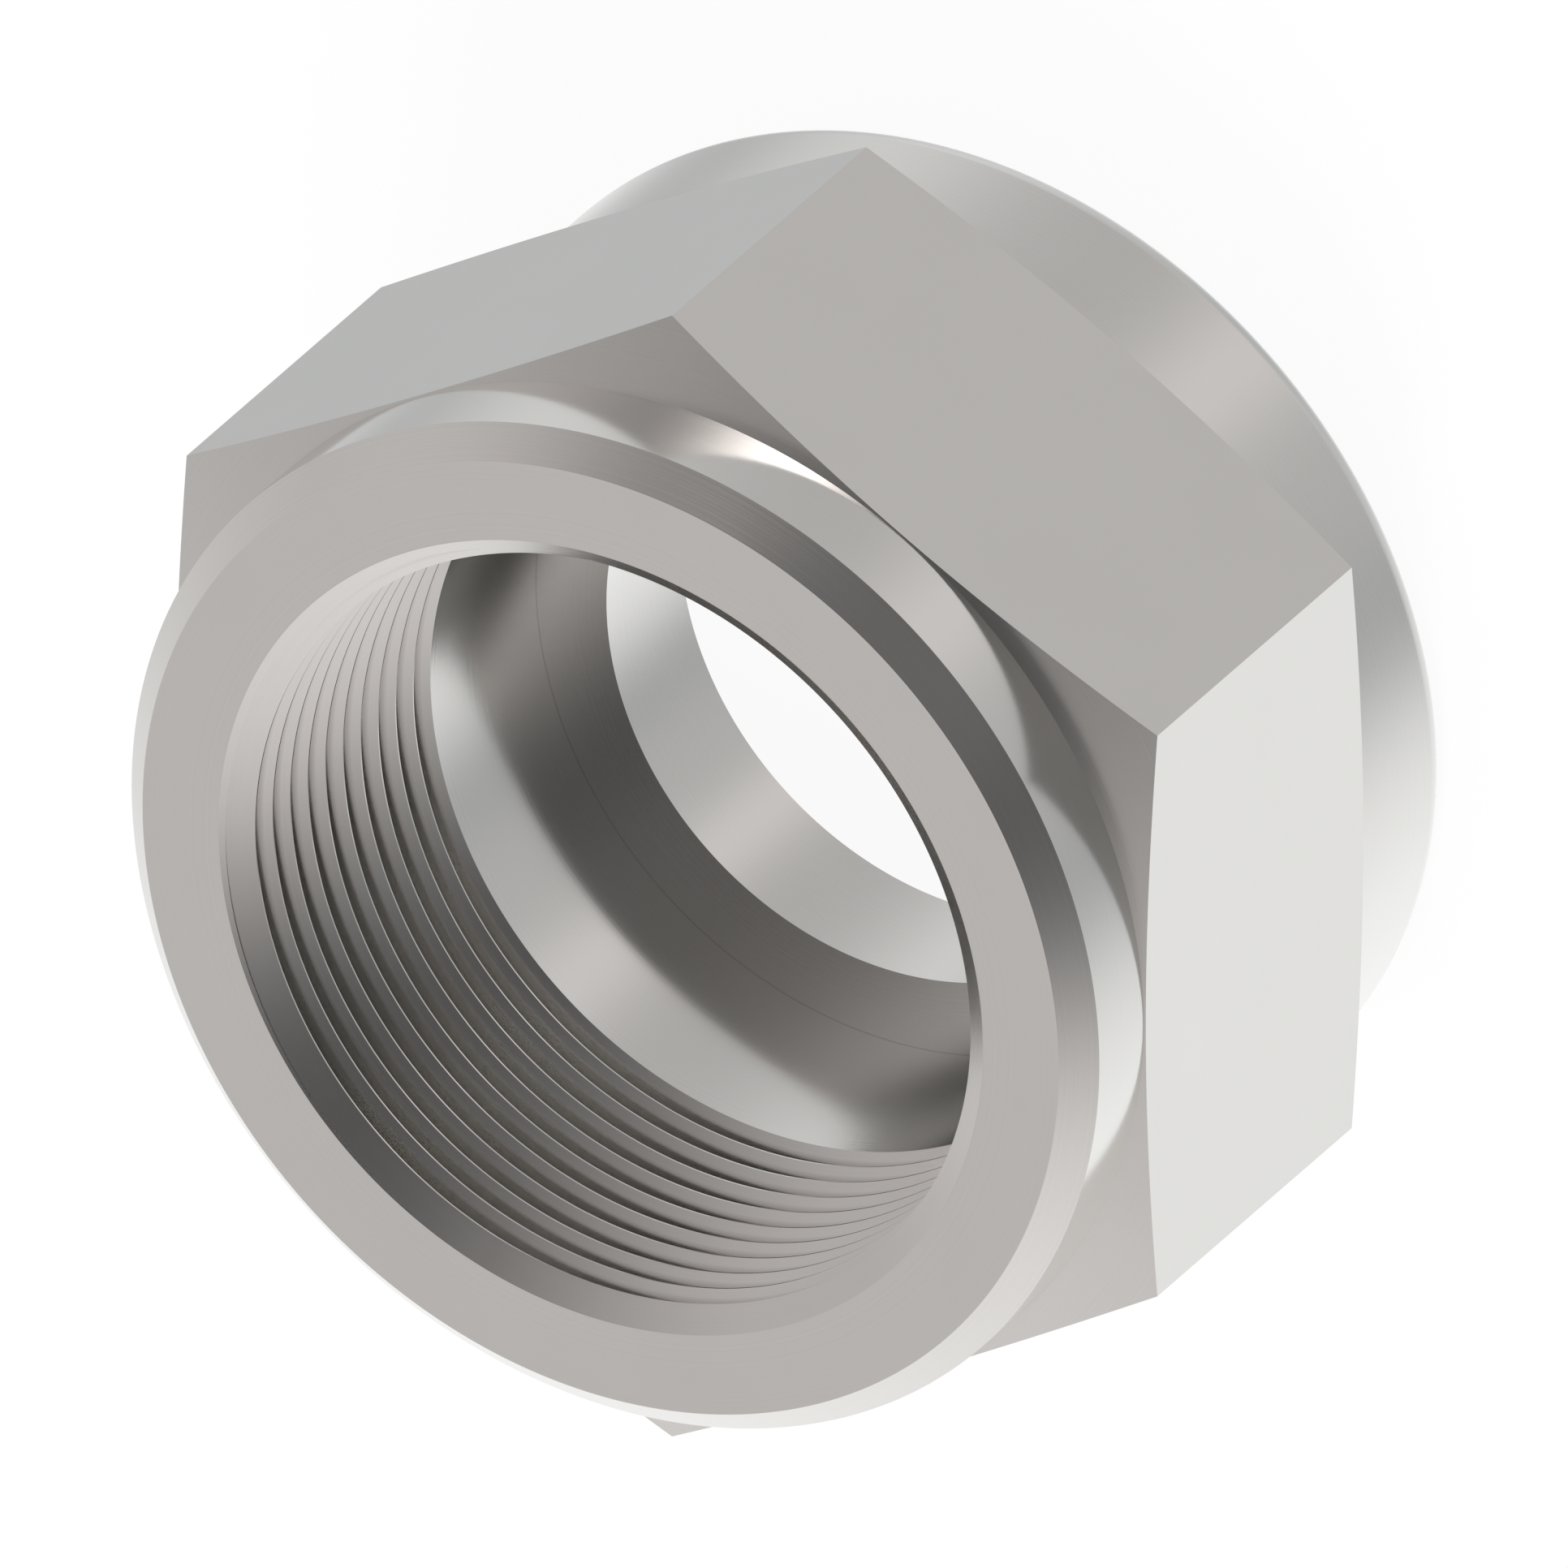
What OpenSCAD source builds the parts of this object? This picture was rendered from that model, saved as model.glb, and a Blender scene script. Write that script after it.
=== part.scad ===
// Tube nut, turned in one piece from a hexagon bar, sizes in millimetres.
// It stands on its rear face at z = 0, where the tube enters, with the threaded mouth at the top.
// The hexagon has two corners on the X axis and two flats facing along the Y axis.

/* [Hexagon bar] */
// Width across the flats, which the spanner fits
across_flats = 32; // [32:0.5:36]
// Slope of the corner chamfers, measured from the end planes
corner_chamfer_angle = 15; // [10:1:30]

/* [Turned outside] */
// Overall length, from the rear face to the front face
nut_l = 20.9; // [18.5:0.1:26]
// Diameter of the two round collars
collar_d = 31.9; // [28:0.1:31.9]
// Length of the front collar, round the mouth of the thread
front_collar_l = 3.4; // [1.5:0.1:5]
// Length of the rear collar, round the tube hole
rear_collar_l = 5.05; // [2.5:0.05:8]
// Leg of the 45 degree chamfer on the front collar
front_chamfer = 0.85; // [0.2:0.05:1.2]
// Radius of the rounded rear edge
rear_edge_r = 1.1; // [0.2:0.1:2]

/* [Stepped bore] */
// Diameter of the bore that the thread is cut in, over the thread's crests
bore_d = 23.55; // [20:0.05:24.5]
// Diameter of the countersunk mouth at the front face
mouth_d = 25.2; // [24.6:0.1:28]
// Included angle of the countersunk mouth
mouth_angle = 120; // [60:10:150]
// Depth of the flat inner seat below the front face
seat_depth = 16.7; // [10:0.1:18]
// Diameter of the hole that the tube passes through
tube_hole_d = 18.9; // [6:0.1:19.9]

/* [Hidden] */

$fn = 180;
hex_sides = 6;
// How far a cutting outline runs past the metal that it cuts
cut_over = 1;

corner_r = across_flats / 2 / cos(180 / hex_sides);
collar_r = collar_d / 2;
bore_r = bore_d / 2;
mouth_r = mouth_d / 2;
tube_hole_r = tube_hole_d / 2;

// Heights of the shoulders, where the collars meet the chamfered hexagon
rear_shoulder_z = rear_collar_l;
front_shoulder_z = nut_l - front_collar_l;

// The chamfer cones run out past the hexagon's corners, so that the bar's flats cut them
cone_reach_r = corner_r + cut_over;
cone_rise = (cone_reach_r - collar_r) * tan(corner_chamfer_angle);

seat_z = nut_l - seat_depth;
countersink_h = (mouth_r - bore_r) / tan(mouth_angle / 2);

// The bar stock, with a corner on the X axis
module hex_bar() {
    cylinder(h = nut_l, r = corner_r, $fn = hex_sides);
}

// Half the section that the lathe leaves: x is the radius and y is the height
module turned_outline() {
    polygon([
        [0, 0],
        [collar_r - rear_edge_r, 0],
        [collar_r, rear_edge_r],
        [collar_r, rear_shoulder_z],
        [cone_reach_r, rear_shoulder_z + cone_rise],
        [cone_reach_r, front_shoulder_z - cone_rise],
        [collar_r, front_shoulder_z],
        [collar_r, nut_l - front_chamfer],
        [collar_r - front_chamfer, nut_l],
        [0, nut_l]
    ]);
    // The round of the rear edge, tangent to the rear face and to the collar
    translate([collar_r - rear_edge_r, rear_edge_r])
        circle(r = rear_edge_r);
}

// Half the section of the hole: the tube hole, the flat seat, the bore and the countersink
module bore_outline() {
    polygon([
        [0, -cut_over],
        [tube_hole_r, -cut_over],
        [tube_hole_r, seat_z],
        [bore_r, seat_z],
        [bore_r, nut_l - countersink_h],
        [mouth_r, nut_l],
        [mouth_r, nut_l + cut_over],
        [0, nut_l + cut_over]
    ]);
}

// The whole nut: the turned outline cuts the bar's corners into chamfers that end in curves
module tube_nut() {
    color("#b3afab")
        difference() {
            intersection() {
                hex_bar();
                rotate_extrude() turned_outline();
            }
            rotate_extrude() bore_outline();
        }
}

tube_nut();
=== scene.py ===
# %% [markdown]
# # Tube nut in stainless steel
# This lesson builds the picture of one turned part: a nut that draws a tube against a fitting. The packed
# model gives the frame, in metres, with the nut standing on its rear face at z = 0 and its threaded mouth
# at the top. The visible nut is modelled again here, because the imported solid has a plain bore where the
# real nut has a fine thread.

import math

import bpy
from mathutils import Matrix, Vector


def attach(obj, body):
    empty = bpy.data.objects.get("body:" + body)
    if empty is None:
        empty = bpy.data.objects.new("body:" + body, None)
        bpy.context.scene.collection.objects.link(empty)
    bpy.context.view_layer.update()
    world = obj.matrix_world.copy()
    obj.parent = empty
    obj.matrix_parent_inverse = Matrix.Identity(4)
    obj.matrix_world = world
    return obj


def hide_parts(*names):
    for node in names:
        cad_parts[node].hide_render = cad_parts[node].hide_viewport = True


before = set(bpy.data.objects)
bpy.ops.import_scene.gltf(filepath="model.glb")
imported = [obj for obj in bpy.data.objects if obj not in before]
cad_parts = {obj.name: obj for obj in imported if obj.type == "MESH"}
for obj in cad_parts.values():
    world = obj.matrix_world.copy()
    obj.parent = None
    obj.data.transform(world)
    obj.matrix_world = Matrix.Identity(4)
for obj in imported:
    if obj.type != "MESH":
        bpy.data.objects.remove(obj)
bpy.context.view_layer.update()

# %% [markdown]
# ## Camera
# The photograph is a parallel projection, in which edges that are parallel on the nut stay parallel in the
# picture, so the camera is orthographic. It shows the nut lying on its side, with its mouth to the front
# and a corner of its hexagon on top, seen from 30 degrees to the right and 30 degrees above. Here the nut
# stands, so that same view is worked out for the lying nut, and then turned with it.

# %% The camera
MM = 0.001
PICTURE_PX = 1932
PX_PER_MM = 43.161
FRONT_FACE_PX = (740.05, 1155.57)
NUT_LENGTH = 20.9

lying_view = Matrix.Rotation(math.radians(30), 3, "Z") @ Matrix.Rotation(math.radians(60), 3, "X")
# The lying nut's right, rear and upward directions, as they point once it stands on its rear face
lying_to_standing = Matrix(((0, 0, 1), (-1, 0, 0), (0, -1, 0)))
view_turn = lying_to_standing @ lying_view
view_right, view_up, view_back = view_turn.transposed()

# The front face's centre lies to the left of the picture's centre and below it
right_mm = (PICTURE_PX / 2 - FRONT_FACE_PX[0]) / PX_PER_MM
up_mm = (FRONT_FACE_PX[1] - PICTURE_PX / 2) / PX_PER_MM
front_centre = Vector((0, 0, NUT_LENGTH * MM))
picture_centre = front_centre + (view_right * right_mm + view_up * up_mm) * MM

camera_data = bpy.data.cameras.new("camera")
camera_data.type = "ORTHO"
camera_data.ortho_scale = PICTURE_PX / PX_PER_MM * MM
camera_data.clip_start = 0.01
camera_data.clip_end = 5
camera = bpy.data.objects.new("camera", camera_data)
bpy.context.scene.collection.objects.link(camera)
CAMERA_DISTANCE = 0.3
camera.matrix_world = Matrix.Translation(picture_centre + view_back * CAMERA_DISTANCE) @ view_turn.to_4x4()
bpy.context.scene.camera = camera
print("camera looks along", [round(-v, 4) for v in view_back])
print("picture's width", round(camera_data.ortho_scale, 5), "m")

# %% [markdown]
# ## Tools of the bench
# Modelling by hand means choosing what to work on and then working on it. These helpers do the choosing:
# one opens a mesh for editing, and two select vertices, by their place or by their number. The last one
# draws a closed outline point by point, as a turner would draw half of a section on paper.

# %% Helpers for modelling


def activate(piece):
    """Selects piece alone and makes it the active object."""
    bpy.ops.object.select_all(action="DESELECT")
    piece.select_set(True)
    bpy.context.view_layer.objects.active = piece


def edit(piece):
    """Opens the mesh of piece for editing, with nothing selected."""
    activate(piece)
    bpy.ops.object.mode_set(mode="EDIT")
    bpy.ops.mesh.select_all(action="DESELECT")


def close_edit():
    """Leaves the mesh that is open."""
    bpy.ops.object.mode_set(mode="OBJECT")


def select_vertices(piece, wanted):
    """Selects each vertex of piece whose place, in millimetres, passes the test."""
    bpy.ops.mesh.select_mode(type="VERT")
    bpy.ops.mesh.select_all(action="DESELECT")
    bpy.ops.object.mode_set(mode="OBJECT")
    for vertex in piece.data.vertices:
        vertex.select = wanted(vertex.co / MM)
    bpy.ops.object.mode_set(mode="EDIT")


def select_numbers(piece, numbers):
    """Selects the vertices of piece that have these numbers."""
    bpy.ops.mesh.select_mode(type="VERT")
    bpy.ops.mesh.select_all(action="DESELECT")
    bpy.ops.object.mode_set(mode="OBJECT")
    for number in numbers:
        piece.data.vertices[number].select = True
    bpy.ops.object.mode_set(mode="EDIT")


def outline_piece(name, points):
    """A closed outline in the plane y = 0, drawn point by point as (radius, height) in millimetres."""
    first = Vector((points[0][0], 0, points[0][1])) * MM
    bpy.ops.mesh.primitive_plane_add(size=MM, location=first)
    piece = bpy.context.active_object
    piece.name = piece.data.name = name
    bpy.ops.object.transform_apply(location=True, rotation=True, scale=True)
    edit(piece)
    bpy.ops.mesh.select_all(action="SELECT")
    bpy.ops.mesh.merge(type="CENTER")
    for (from_r, from_z), (to_r, to_z) in zip(points, points[1:]):
        step = ((to_r - from_r) * MM, 0, (to_z - from_z) * MM)
        bpy.ops.mesh.extrude_region_move(TRANSFORM_OT_translate={"value": step})
    first_r, first_z = points[0]
    last_r, last_z = points[-1]
    home = ((first_r - last_r) * MM, 0, (first_z - last_z) * MM)
    bpy.ops.mesh.extrude_region_move(TRANSFORM_OT_translate={"value": home})
    bpy.ops.mesh.select_all(action="SELECT")
    bpy.ops.mesh.remove_doubles(threshold=0.001 * MM)
    return piece


def near(a, b, within=0.001):
    """True where two lengths in millimetres agree."""
    return abs(a - b) < within


bpy.ops.object.select_all(action="DESELECT")

# %% [markdown]
# ## Turned blank
# On the lathe the bar becomes a body of revolution: two round collars, shallow cones that will cut the
# hexagon's corners, a chamfered front edge, a rounded rear edge, and a stepped bore with a countersunk
# mouth. It could be put together from cylinders and cones, but then every step would be a join to clean up.
# Drawing half of its section once and spinning it about the axis makes each turned edge a true circle. The
# chamfer and the round are bevels of single corners of the section, so their sizes stay plain numbers.

# %% The blank's sizes, in millimetres
ACROSS_FLATS = 32.0
CORNER_CHAMFER = math.radians(15)
COLLAR_R = 31.9 / 2
FRONT_COLLAR = 3.4
REAR_COLLAR = 5.05
FRONT_CHAMFER = 0.85
REAR_ROUND = 1.1
REAR_ROUND_STEPS = 16
BORE_R = 23.55 / 2
MOUTH_R = 25.2 / 2
SEAT_Z = NUT_LENGTH - 16.7
TUBE_HOLE_R = 18.9 / 2
# The slope of the countersunk mouth and of the thread's flanks, from the plane of the front face
FLANK = math.radians(30)
# Steps in one turn of every round face
AROUND = 240

# The blank is one millimetre wider than the hexagon's corners
blank_r = ACROSS_FLATS / 2 / math.cos(math.radians(30)) + 1
cone_rise = (blank_r - COLLAR_R) * math.tan(CORNER_CHAMFER)
front_shoulder = NUT_LENGTH - FRONT_COLLAR
countersink_z = NUT_LENGTH - (MOUTH_R - BORE_R) * math.tan(FLANK)
section = [
    (TUBE_HOLE_R, 0),
    (COLLAR_R, 0),
    (COLLAR_R, REAR_COLLAR),
    (blank_r, REAR_COLLAR + cone_rise),
    (blank_r, front_shoulder - cone_rise),
    (COLLAR_R, front_shoulder),
    (COLLAR_R, NUT_LENGTH),
    (MOUTH_R, NUT_LENGTH),
    (BORE_R, countersink_z),
    (BORE_R, SEAT_Z),
    (TUBE_HOLE_R, SEAT_Z),
]
print("countersink from z", round(countersink_z, 4), "to", NUT_LENGTH, "mm")

# %% Draw the section
nut = outline_piece("turned_nut", section)
select_vertices(nut, lambda p: near(p.x, COLLAR_R) and near(p.z, NUT_LENGTH))
bpy.ops.mesh.bevel(offset=FRONT_CHAMFER * MM, segments=1, affect="VERTICES")
select_vertices(nut, lambda p: near(p.x, COLLAR_R) and near(p.z, 0))
bpy.ops.mesh.bevel(offset=REAR_ROUND * MM, segments=REAR_ROUND_STEPS, profile=0.5, affect="VERTICES")
close_edit()
print("section:", [(round(v.co.x / MM, 3), round(v.co.z / MM, 3)) for v in nut.data.vertices])

# %% Spin the section
edit(nut)
bpy.ops.mesh.select_all(action="SELECT")
bpy.ops.mesh.spin(steps=AROUND, angle=2 * math.pi, center=(0, 0, 0), axis=(0, 0, 1))
bpy.ops.mesh.select_all(action="SELECT")
bpy.ops.mesh.remove_doubles(threshold=0.001 * MM)
bpy.ops.mesh.normals_make_consistent(inside=False)
close_edit()
print("turned blank:", len(nut.data.vertices), "vertices,", len(nut.data.polygons), "faces")

# %% [markdown]
# ## Hexagon
# The real bar is a hexagon from the start and the lathe cuts into it. In the model it is easier to go the
# other way round: the blank is a little wider than the corners, and six straight cuts take off what lies
# outside the flats. Each cut fills itself with one flat face, and where it meets the cones it leaves the
# curved edges that make a nut look like a nut.

# %% Cut the six flats
for side in range(6):
    turn = math.radians(30 + 60 * side)
    outward = Vector((math.cos(turn), math.sin(turn), 0))
    edit(nut)
    bpy.ops.mesh.select_all(action="SELECT")
    bpy.ops.mesh.bisect(
        plane_co=outward * ACROSS_FLATS / 2 * MM,
        plane_no=outward,
        use_fill=True,
        clear_outer=True,
        threshold=0.00001 * MM,
    )
    close_edit()
widest = max(math.hypot(v.co.x, v.co.y) for v in nut.data.vertices) / MM
print("hexagon: corners at", round(widest, 4), "mm from the axis")

# %% [markdown]
# ## Thread
# The mouth has a fine right-hand thread with a pitch of 1 mm. Each groove is a 60 degree V, cut so deep
# that only a hair of the bore's wall is left between two turns. The turns could be stacked rings, but a
# thread is one line that climbs, and its start in the countersink shows it. So the V is drawn once as a
# tool, swept along a helix with the Screw modifier, and taken away from the nut with a Boolean, just as a
# cutter would do it. The mouth hides the thread's inner end in the photograph. Here the tool's last fifth
# of a turn is drawn inwards, so that the groove runs out to nothing.

# %% The thread's sizes, in millimetres
PITCH = 1.0
ROOT_R = MOUTH_R
# The turn about the axis and the depth at which the photograph shows the middle of the first crest
CREST_TURN = math.radians(139)
CREST_DEPTH = 0.563
TURNS_BELOW = 9
THREAD_END_TURN = math.radians(-45)
THREAD_TURNS = 12
RUN_OUT_STEPS = 50
TOOL_INNER_R = 11.3

groove_half = (ROOT_R - BORE_R) * math.tan(FLANK)
tool_shoulder_r = BORE_R - 0.02
tool_half = (ROOT_R - tool_shoulder_r) * math.tan(FLANK)
# Height of the groove's root where the tool starts, nine turns below the groove under the first crest
root_z = NUT_LENGTH - CREST_DEPTH - PITCH / 2 - TURNS_BELOW * PITCH
root_z += (THREAD_END_TURN - CREST_TURN) / (2 * math.pi) * PITCH
tool_section = [
    (TOOL_INNER_R, root_z - tool_half),
    (tool_shoulder_r, root_z - tool_half),
    (ROOT_R, root_z),
    (tool_shoulder_r, root_z + tool_half),
    (TOOL_INNER_R, root_z + tool_half),
]
print("groove", round(2 * groove_half, 4), "mm wide, crest", round(PITCH - 2 * groove_half, 4), "mm wide")

# %% Sweep the cutting tool
tool = outline_piece("thread_tool", tool_section)
bpy.ops.mesh.select_all(action="SELECT")
# With no window, a rotation turns the other way, so its sign is changed here
bpy.ops.transform.rotate(value=-THREAD_END_TURN, orient_axis="Z", center_override=(0, 0, 0))
close_edit()
print("tool starts at", [round(v / MM, 3) for v in tool.data.vertices[2].co])
screw = tool.modifiers.new("helix", "SCREW")
screw.axis = "Z"
screw.angle = 2 * math.pi
screw.screw_offset = PITCH * MM
screw.iterations = THREAD_TURNS
screw.steps = AROUND
screw.render_steps = AROUND
screw.use_merge_vertices = False
screw.use_normal_calculate = True
bpy.ops.object.modifier_apply(modifier=screw.name)
print("swept tool:", len(tool.data.vertices), "vertices")

# %% Draw in the tool's end and close it
ring_size = len(tool_section)
run_out_r = BORE_R - 0.05
edit(tool)
for ring in range(RUN_OUT_STEPS):
    root_r = run_out_r + (ROOT_R - run_out_r) * math.sin(math.pi / 2 * ring / RUN_OUT_STEPS)
    shrink = root_r / ROOT_R
    select_numbers(tool, range(ring * ring_size, (ring + 1) * ring_size))
    bpy.ops.transform.resize(value=(shrink, shrink, 1), center_override=(0, 0, 0))
bpy.ops.mesh.select_all(action="SELECT")
bpy.ops.mesh.fill_holes(sides=0)
bpy.ops.mesh.select_all(action="SELECT")
bpy.ops.mesh.normals_make_consistent(inside=False)
close_edit()
print("tool's end drawn in over", round(RUN_OUT_STEPS / AROUND, 2), "of a turn, from radius", run_out_r, "mm")

# %% Cut the thread
cut = nut.modifiers.new("cut_thread", "BOOLEAN")
cut.operation = "DIFFERENCE"
cut.solver = "EXACT"
cut.object = tool
activate(nut)
bpy.ops.object.modifier_apply(modifier=cut.name)
bpy.data.objects.remove(tool)
print("threaded nut:", len(nut.data.vertices), "vertices,", len(nut.data.polygons), "faces")

# %% [markdown]
# ## Clean faces and sharp edges
# The Boolean leaves vertices less than a thousandth of a millimetre apart, which are merged here. All the
# edges of this nut are crisp, apart from its rounded rear edge, so faces that meet at less than 20 degrees
# are shaded as one surface and all others apart. Weighted normals then let the large faces set the shading
# next to the small faces of the round, so that flat faces reflect as flat ones do.

# %% Merge, shade and weight
edit(nut)
bpy.ops.mesh.select_all(action="SELECT")
bpy.ops.mesh.remove_doubles(threshold=0.001 * MM)
close_edit()
bpy.ops.object.shade_smooth_by_angle(angle=math.radians(20))
weights = nut.modifiers.new("weights", "WEIGHTED_NORMAL")
weights.keep_sharp = True
weights.weight = 50
bpy.ops.object.modifier_apply(modifier=weights.name)
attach(nut, "root")
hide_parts("tube_nut")
low = [round(min(v.co[i] for v in nut.data.vertices) / MM, 3) for i in range(3)]
high = [round(max(v.co[i] for v in nut.data.vertices) / MM, 3) for i in range(3)]
print("finished nut:", len(nut.data.polygons), "faces, from", low, "to", high, "mm")

# %% [markdown]
# ## Stainless steel
# The nut is austenitic stainless steel, cut on a lathe from drawn hexagon bar. The turned faces carry fine
# feed marks, rings that follow the tool round the axis. The flats are the skin of the drawn bar, with faint
# streaks along its length. An image could be wrapped round the nut for this, but it would show a seam.
# Noise that reads the distance along the section draws the rings on every turned face, and noise stretched
# along the axis draws the streaks. A pale, nearly neutral colour and a low roughness, near those of plain
# steel, come first. The marks then vary them a little and tilt the surface by a hair.

# %% Helpers for materials


def colour(hex_code):
    """An sRGB hex colour as linear red, green, blue and alpha."""
    channels = [int(hex_code[i:i + 2], 16) / 255 for i in (1, 3, 5)]
    linear = [c / 12.92 if c <= 0.04045 else ((c + 0.055) / 1.055) ** 2.4 for c in channels]
    return (*linear, 1)


def add(tree, kind, inputs=None, **settings):
    """Adds a node to tree, with its settings, and with a value or a link for each of the named inputs."""
    node = tree.nodes.new(kind)
    for name, value in settings.items():
        setattr(node, name, value)
    for name, value in (inputs or {}).items():
        if isinstance(value, bpy.types.NodeSocket):
            tree.links.new(value, node.inputs[name])
        else:
            node.inputs[name].default_value = value
    return node


# %% Where a point lies on the turned section
# Turned stainless steel: a pale grey metal whose reflections are clear in shape and soft at their edges
steel = bpy.data.materials.new("turned_stainless_steel")
steel.use_nodes = True
tree = steel.node_tree
tree.nodes.clear()
coordinates = add(tree, "ShaderNodeTexCoord").outputs
in_mm = {0: coordinates["Object"], "Scale": 1 / MM}
place_mm = add(tree, "ShaderNodeVectorMath", in_mm, operation="SCALE").outputs[0]
height = add(tree, "ShaderNodeSeparateXYZ", {0: place_mm}).outputs["Z"]
across = add(tree, "ShaderNodeVectorMath", {0: place_mm, 1: (1, 1, 0)}, operation="MULTIPLY").outputs[0]
radius = add(tree, "ShaderNodeVectorMath", {0: across}, operation="LENGTH").outputs["Value"]
outward = add(tree, "ShaderNodeVectorMath", {0: across}, operation="NORMALIZE").outputs[0]
normal = coordinates["Normal"]
both_ways = {0: normal, 1: outward}
facing_out = add(tree, "ShaderNodeVectorMath", both_ways, operation="DOT_PRODUCT").outputs["Value"]
facing_up = add(tree, "ShaderNodeSeparateXYZ", {0: normal}).outputs["Z"]
# The way along the section is the height on a round face, the radius on an end face, and both on a cone
climbed = add(tree, "ShaderNodeMath", {0: height, 1: facing_out}, operation="MULTIPLY").outputs[0]
spread_out = add(tree, "ShaderNodeMath", {0: radius, 1: facing_up}, operation="MULTIPLY").outputs[0]
along = add(tree, "ShaderNodeMath", {0: climbed, 1: spread_out}, operation="SUBTRACT").outputs[0]
print("section coordinates:", len(tree.nodes), "nodes")

# %% Feed marks and bar streaks
# Spacing of the feed marks, and width and length of the bar's streaks, in millimetres
FEED_MARK = 0.09
STREAK_WIDTH = 0.12
STREAK_LENGTH = 5.0
# The streaks are fainter than the rings: their noise keeps only the middle of its range
STREAK_LOW = 0.35
STREAK_HIGH = 0.65
# Only the hexagon's flats stand upright this far out
FLATS_FROM = ACROSS_FLATS / 2 - 0.02
rings = add(
    tree,
    "ShaderNodeTexNoise",
    {"W": along, "Scale": 1 / FEED_MARK, "Detail": 2.0, "Roughness": 0.6},
    noise_dimensions="1D",
).outputs[0]
stretched = add(
    tree,
    "ShaderNodeMapping",
    {"Vector": place_mm, "Scale": (1 / STREAK_WIDTH, 1 / STREAK_WIDTH, 1 / STREAK_LENGTH)},
).outputs[0]
bar_skin = add(
    tree, "ShaderNodeTexNoise", {"Vector": stretched, "Scale": 1.0, "Detail": 2.0, "Roughness": 0.6}
).outputs[0]
fainter = {0: bar_skin, 1: 0.0, 2: 1.0, 3: STREAK_LOW, 4: STREAK_HIGH}
streaks = add(tree, "ShaderNodeMapRange", fainter).outputs[0]
outside = add(tree, "ShaderNodeMath", {0: radius, 1: FLATS_FROM}, operation="GREATER_THAN").outputs[0]
level_out = add(tree, "ShaderNodeMath", {0: facing_up}, operation="ABSOLUTE").outputs[0]
upright = add(tree, "ShaderNodeMath", {0: level_out, 1: 0.5}, operation="LESS_THAN").outputs[0]
on_flat = add(tree, "ShaderNodeMath", {0: outside, 1: upright}, operation="MULTIPLY").outputs[0]
grain = add(tree, "ShaderNodeMix", {0: on_flat, 2: rings, 3: streaks}).outputs[0]
print("feed marks", FEED_MARK, "mm apart, bar streaks", STREAK_WIDTH, "mm wide")

# %% [markdown]
# ## Deep places
# The two flanks of a narrow V groove face each other: what light it returns has met them several times and
# has lost a little of its strength each time. In most of the photograph's thread the roots are darker than
# such reflections alone make them here. A slightly darker grey in the lower two thirds of the groove makes
# up for it. It fades out under the mouth, where the first groove lies open to the light. The corner between
# the bore's wall and its flat seat is drawn the same way, as a hair line: the tool leaves a tiny radius
# there, which shows dark.

# %% Painted shade in the thread roots and the seat's corner
# The painted shade in the groove darkens between these two radii, in millimetres
GROOVE_LIT_R = 12.0
GROOVE_DEEP_R = 12.12
# It fades out between these two depths below the countersink, in millimetres
FADE_FROM = 0.3
FADE_TO = 0.12
# The corner's painted shade line fades between these two distances from the corner, in millimetres
LINE_SOLID = 0.01
LINE_GONE = 0.04
LINE_STRENGTH = 0.5
threaded_middle = (SEAT_Z + countersink_z) / 2
threaded_half = (countersink_z - SEAT_Z) / 2 - 0.02
around_middle = {0: height, 1: threaded_middle, 2: threaded_half}
in_bore = add(tree, "ShaderNodeMath", around_middle, operation="COMPARE").outputs[0]
in_groove = add(tree, "ShaderNodeMath", {0: radius, 1: ROOT_R + 0.1}, operation="LESS_THAN").outputs[0]
in_thread = add(tree, "ShaderNodeMath", {0: in_bore, 1: in_groove}, operation="MULTIPLY").outputs[0]
by_height = {0: height, 1: countersink_z - FADE_FROM, 2: countersink_z - FADE_TO, 3: 1.0, 4: 0.0}
below_mouth = add(tree, "ShaderNodeMapRange", by_height).outputs[0]
closed_in = add(tree, "ShaderNodeMath", {0: in_thread, 1: below_mouth}, operation="MULTIPLY").outputs[0]
# Painted shade: the groove's lower two thirds are darkened by radius
by_radius = {0: radius, 1: GROOVE_LIT_R, 2: GROOVE_DEEP_R, 3: 0.0, 4: 1.0}
depth = add(tree, "ShaderNodeMapRange", by_radius).outputs[0]
groove = add(tree, "ShaderNodeMath", {0: closed_in, 1: depth}, operation="MULTIPLY").outputs[0]
# Painted shade: a dark hair line where the bore's wall meets the flat seat
on_section = add(tree, "ShaderNodeCombineXYZ", {0: radius, 2: height}).outputs[0]
from_corner = {0: on_section, 1: (BORE_R, 0, SEAT_Z)}
to_corner = add(tree, "ShaderNodeVectorMath", from_corner, operation="DISTANCE").outputs["Value"]
by_distance = {0: to_corner, 1: LINE_SOLID, 2: LINE_GONE, 3: LINE_STRENGTH, 4: 0.0}
corner_shade = add(tree, "ShaderNodeMapRange", by_distance).outputs[0]
painted_shade = add(tree, "ShaderNodeMath", {0: groove, 1: corner_shade}, operation="MAXIMUM").outputs[0]
print("thread roots darken from radius", GROOVE_LIT_R, "to", GROOVE_DEEP_R, "mm")

# %% [markdown]
# ## Gloss, colour and relief
# The marks reach the eye in three ways. They spread the gloss a little more or less, they change the tone
# by up to four parts in a hundred, and they tilt the surface. Slow clouds, some 4 mm across, are added to
# the first two, because no turned face is quite as glossy in one place as in the next.

# %% Gloss, colour and relief
STEEL_DULL = "#e6e5e3"
STEEL_BRIGHT = "#eae9e7"
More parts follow.
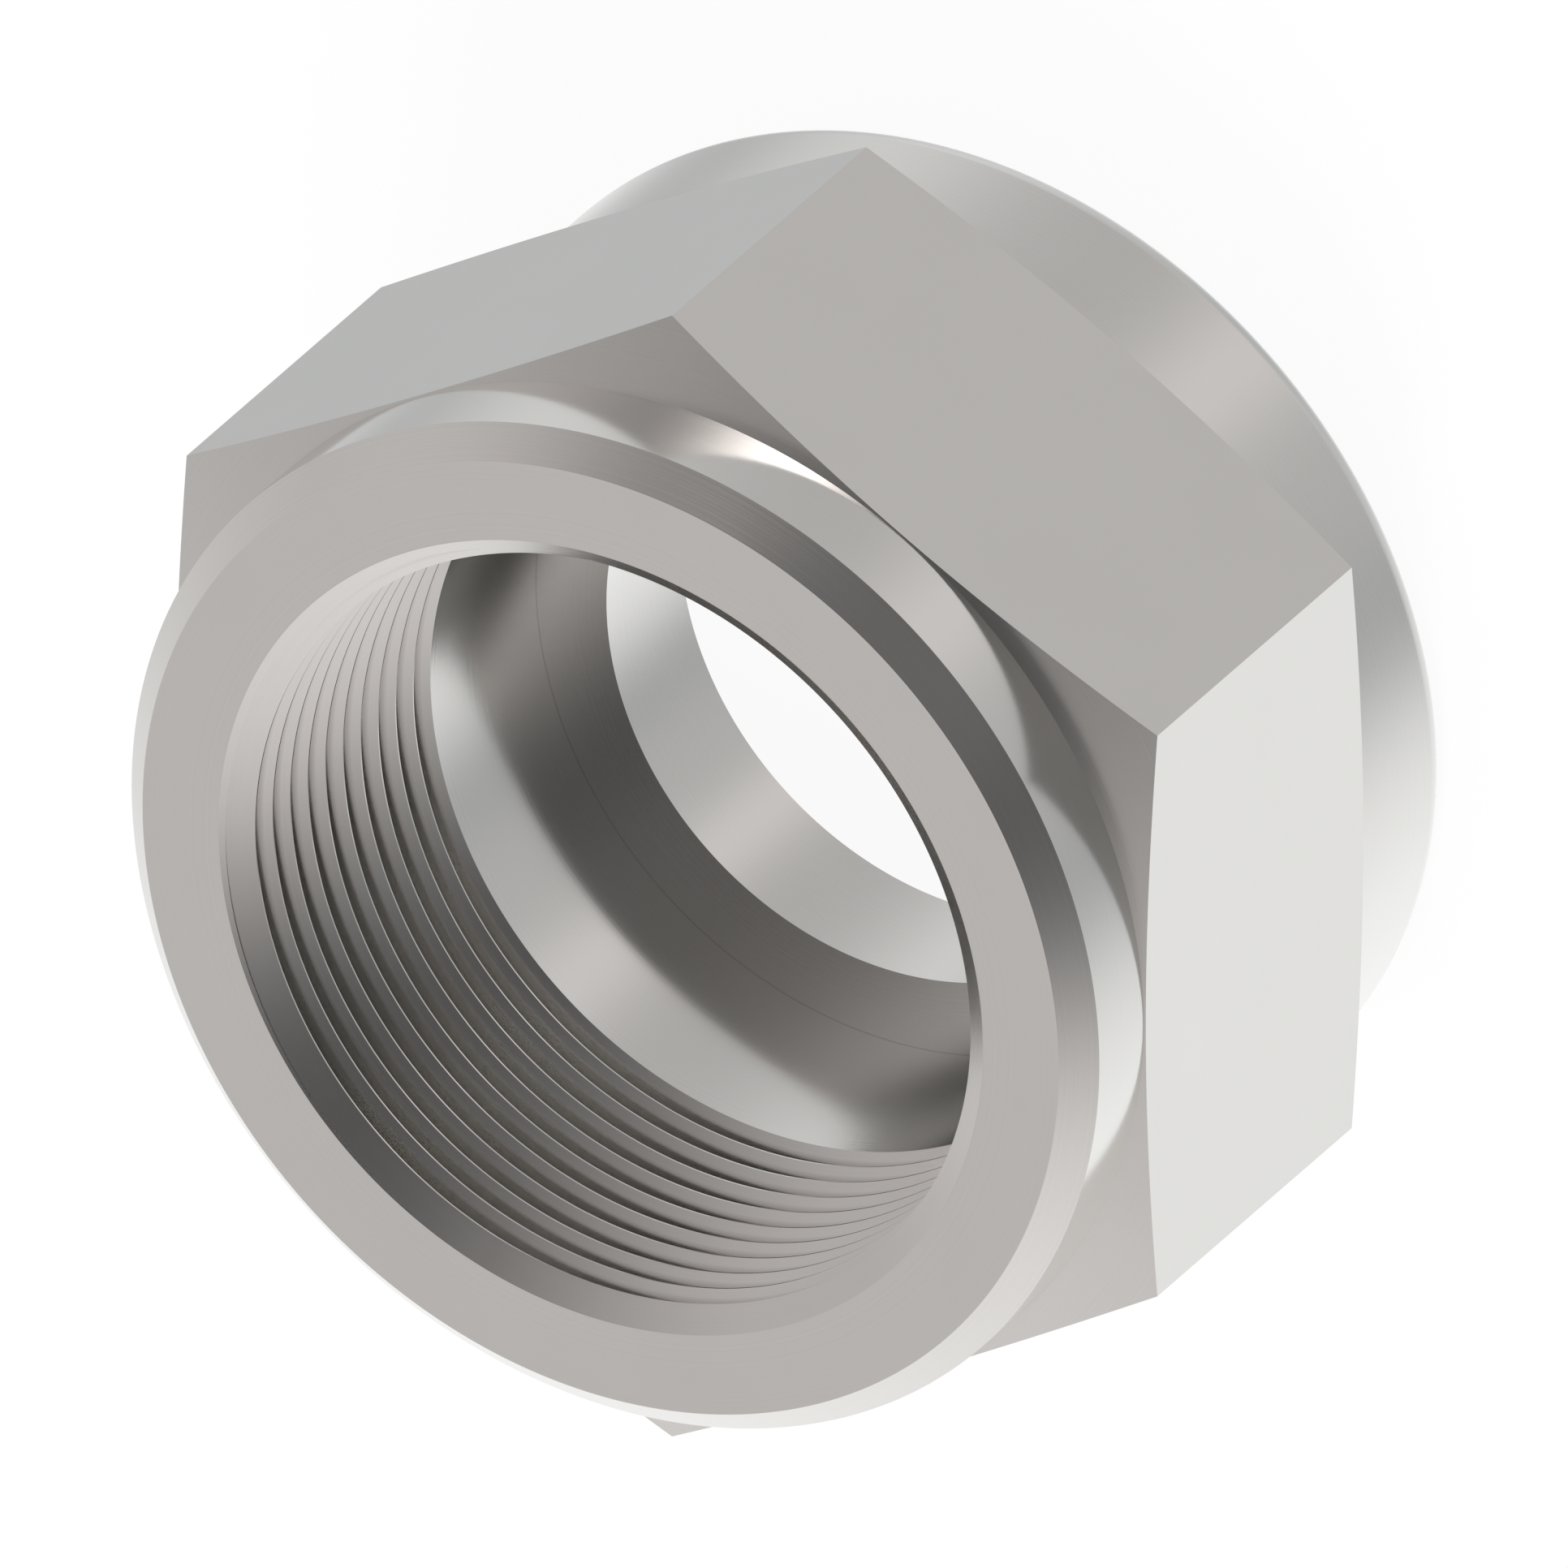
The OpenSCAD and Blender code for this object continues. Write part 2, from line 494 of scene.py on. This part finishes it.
# The grey of the painted shade in the thread roots and the seat's corner
ROOT_SHADE_COLOUR = "#d1cecb"
STEEL_ROUGHNESS = 0.16
ROUGHNESS_SPREAD = 0.025
CLOUD_SIZE = 4.0
# Height of the marks in millimetres, half a thousandth, which a fine finish has
MARK_HEIGHT = 0.0005
# Grain and clouds added together mostly lie between these two values
GRAIN_LOW = 0.6
GRAIN_HIGH = 1.4
cloud_inputs = {"Vector": place_mm, "Scale": 1 / CLOUD_SIZE, "Detail": 3.0}
clouds = add(tree, "ShaderNodeTexNoise", cloud_inputs).outputs[0]
uneven = add(tree, "ShaderNodeMath", {0: grain, 1: clouds}, operation="ADD").outputs[0]
smooth = STEEL_ROUGHNESS - ROUGHNESS_SPREAD
rough = STEEL_ROUGHNESS + ROUGHNESS_SPREAD
gloss_range = {0: uneven, 1: GRAIN_LOW, 2: GRAIN_HIGH, 3: smooth, 4: rough}
gloss = add(tree, "ShaderNodeMapRange", gloss_range).outputs[0]
tone_range = {0: uneven, 1: GRAIN_LOW, 2: GRAIN_HIGH, 3: 0.0, 4: 1.0}
tone = add(tree, "ShaderNodeMapRange", tone_range).outputs[0]
dull_to_bright = {0: tone, 6: colour(STEEL_DULL), 7: colour(STEEL_BRIGHT)}
turned = add(tree, "ShaderNodeMix", dull_to_bright, data_type="RGBA").outputs[2]
# Painted shade in the thread roots and the seat's corner darkens the steel towards that grey
to_painted_shade = {0: painted_shade, 6: turned, 7: colour(ROOT_SHADE_COLOUR)}
shade = add(tree, "ShaderNodeMix", to_painted_shade, data_type="RGBA").outputs[2]
bump_inputs = {"Height": grain, "Strength": 1.0, "Distance": MARK_HEIGHT * MM}
relief = add(tree, "ShaderNodeBump", bump_inputs).outputs[0]
surface_inputs = {"Base Color": shade, "Metallic": 1.0, "Roughness": gloss, "Normal": relief}
surface = add(tree, "ShaderNodeBsdfPrincipled", surface_inputs)
add(tree, "ShaderNodeOutputMaterial", {"Surface": surface.outputs["BSDF"]})
nut.data.materials.clear()
nut.data.materials.append(steel)
print("steel:", len(tree.nodes), "nodes, roughness", round(smooth, 3), "to", round(rough, 3))

# %% [markdown]
# ## Floor
# The photograph has no floor to see: the nut stands free on pure white. The nut here stands on a pale floor
# that is white to the camera, and a share of plain diffuse white in it keeps a soft shadow round the nut.
# Polished metal shows what it faces, and in the photograph its sides show the studio and not a floor. So
# reflections look past this floor to the studio's surround.

# %% The floor
FLOOR_WIDTH = 2.0
FLOOR_COLOUR = "#f8f8f8"
SHADOW_SHARE = 0.07
bpy.ops.mesh.primitive_plane_add(size=FLOOR_WIDTH, location=(0, 0, 0))
floor = bpy.context.active_object
floor.name = floor.data.name = "floor"
floor.visible_glossy = False
# Matt white paper with no gloss: mostly plain white, with a small share of diffuse white that shows the light
# that reaches it
paper = bpy.data.materials.new("white_paper")
paper.use_nodes = True
tree = paper.node_tree
tree.nodes.clear()
lit = add(tree, "ShaderNodeBsdfDiffuse", {"Color": colour(FLOOR_COLOUR)})
white = add(tree, "ShaderNodeEmission", {"Color": colour("#ffffff"), "Strength": 1.0})
both = add(tree, "ShaderNodeMixShader", {0: SHADOW_SHARE, 1: white.outputs[0], 2: lit.outputs[0]})
add(tree, "ShaderNodeOutputMaterial", {"Surface": both.outputs[0]})
floor.data.materials.append(paper)
print("floor:", FLOOR_WIDTH, "m wide,", SHADOW_SHARE, "of its white takes the shadow")

# %% [markdown]
# ## Studio
# Nearly all that is seen of bare metal is its surroundings, so the studio is where most of the likeness
# comes from. Real cards and windows could be modelled and placed round the nut, but soft edges are easier
# to get from the world itself: an even grey level all round, to which soft round patches add light, as
# windows and lamps do, or from which they take it away, as dark cards do. Their places were found by
# following the lines of sight that the nut's flats, cones and collars turn aside, and asking how bright the
# photograph is there. The tints are slight: the level is a little warm, and the light from the rear is
# cooler.

# %% The surround
WARM = (1.055, 1.0, 0.98)
COOL = (0.9, 1.0, 1.02)
SURROUND_LEVEL = 0.685
# Each soft patch: azimuth, elevation and spread in degrees, light added or taken away, and its tint
SOFT_PATCHES = {
    "white_sweep": (176, -50, 43, 0.44, COOL),
    "rear_left_window": (53, -57, 13, 0.165, COOL),
    "rear_right_window": (323, -51, 7, 0.215, WARM),
    "rear_front_window": (348, -40, 13, 0.025, WARM),
    "rear_right_card": (259, -47, 9, -0.19, WARM),
    "rear_left_card": (98, -46, 13, -0.3, WARM),
    "rear_card": (0, -90, 18, -0.33, WARM),
    "front_right_card": (259, 41, 24, -0.6, WARM),
    "front_card": (320, 89, 20, -0.32, WARM),
    "top_card": (355, 14, 45, -0.655, WARM),
    "front_right_glow": (240, 40, 24, 0.3, WARM),
    "front_left_glow": (56, 27, 24, 0.31, WARM),
    "front_glow": (350, 38, 10, 0.03, WARM),
    "left_card": (84, 30, 30, -0.245, WARM),
    "right_card": (275, -22, 22, -0.32, WARM),
    "small_lamp": (2, 11, 9, 3.7, WARM),
}


def direction(azimuth, elevation):
    """The unit vector that points to an azimuth and elevation in degrees."""
    a = math.radians(azimuth)
    e = math.radians(elevation)
    return (math.cos(e) * math.cos(a), math.cos(e) * math.sin(a), math.sin(e))


world = bpy.data.worlds.new("studio")
world.use_nodes = True
bpy.context.scene.world = world
tree = world.node_tree
tree.nodes.clear()
sight = add(tree, "ShaderNodeTexCoord").outputs["Generated"]
level = [SURROUND_LEVEL * part for part in WARM]
seen = add(tree, "ShaderNodeCombineXYZ", {0: level[0], 1: level[1], 2: level[2]}).outputs[0]
for name, (azimuth, elevation, spread, light, tint) in SOFT_PATCHES.items():
    aim = {0: sight, 1: direction(azimuth, elevation)}
    towards = add(tree, "ShaderNodeVectorMath", aim, operation="DOT_PRODUCT").outputs["Value"]
    sharp = 1 / math.radians(spread) ** 2
    fall = add(tree, "ShaderNodeMath", {0: towards, 1: sharp, 2: -sharp}, operation="MULTIPLY_ADD").outputs[0]
    soft = add(tree, "ShaderNodeMath", {0: fall}, operation="EXPONENT").outputs[0]
    strength = [light * part for part in tint]
    patch = add(tree, "ShaderNodeVectorMath", {0: soft, 1: strength, 2: seen}, operation="MULTIPLY_ADD")
    patch.label = name
    seen = patch.outputs[0]
print("surround: level", SURROUND_LEVEL, "and", len(SOFT_PATCHES), "soft patches")

# %% [markdown]
# ## Light for each kind of ray
# A reflection sees the surround, a camera ray that misses the nut sees plain white, and the matt floor is
# lit by an even level of light. One large soft lamp, high above the nut, adds the floor's faint shadow. The
# view transform is the standard one, so that a colour renders about as it is written.

# %% What each kind of ray sees
ROOM_LIGHT = 0.85
ray = add(tree, "ShaderNodeLightPath").outputs
by_mirror = {0: ray["Is Glossy Ray"], 1: ray["Is Transmission Ray"]}
mirrored = add(tree, "ShaderNodeMath", by_mirror, operation="MAXIMUM").outputs[0]
even_light = (ROOM_LIGHT, ROOM_LIGHT, ROOM_LIGHT, 1)
room = add(tree, "ShaderNodeMix", {0: mirrored, 6: even_light, 7: seen}, data_type="RGBA").outputs[2]
to_camera = {0: ray["Is Camera Ray"], 6: room, 7: colour("#ffffff")}
shown = add(tree, "ShaderNodeMix", to_camera, data_type="RGBA").outputs[2]
back = add(tree, "ShaderNodeBackground", {"Color": shown, "Strength": 1.0})
add(tree, "ShaderNodeOutputWorld", {"Surface": back.outputs[0]})
bpy.context.scene.view_settings.view_transform = "Standard"
print("even light", ROOM_LIGHT, "and view transform", bpy.context.scene.view_settings.view_transform)

# %% The large lamp
LAMP_WIDTH = 0.25
LAMP_POWER = 1.3
LAMP_DISTANCE = 0.5
LAMP_DIRECTION = (200, 60)
lamp_data = bpy.data.lights.new("large_lamp", "AREA")
lamp_data.shape = "DISK"
lamp_data.size = LAMP_WIDTH
lamp_data.energy = LAMP_POWER
lamp = bpy.data.objects.new("large_lamp", lamp_data)
bpy.context.scene.collection.objects.link(lamp)
lamp_place = Vector(direction(*LAMP_DIRECTION)) * LAMP_DISTANCE
lamp.location = lamp_place
lamp.rotation_euler = lamp_place.to_track_quat("Z", "Y").to_euler()
lamp.visible_glossy = False
print("large lamp at", [round(v, 3) for v in lamp.location], "m")
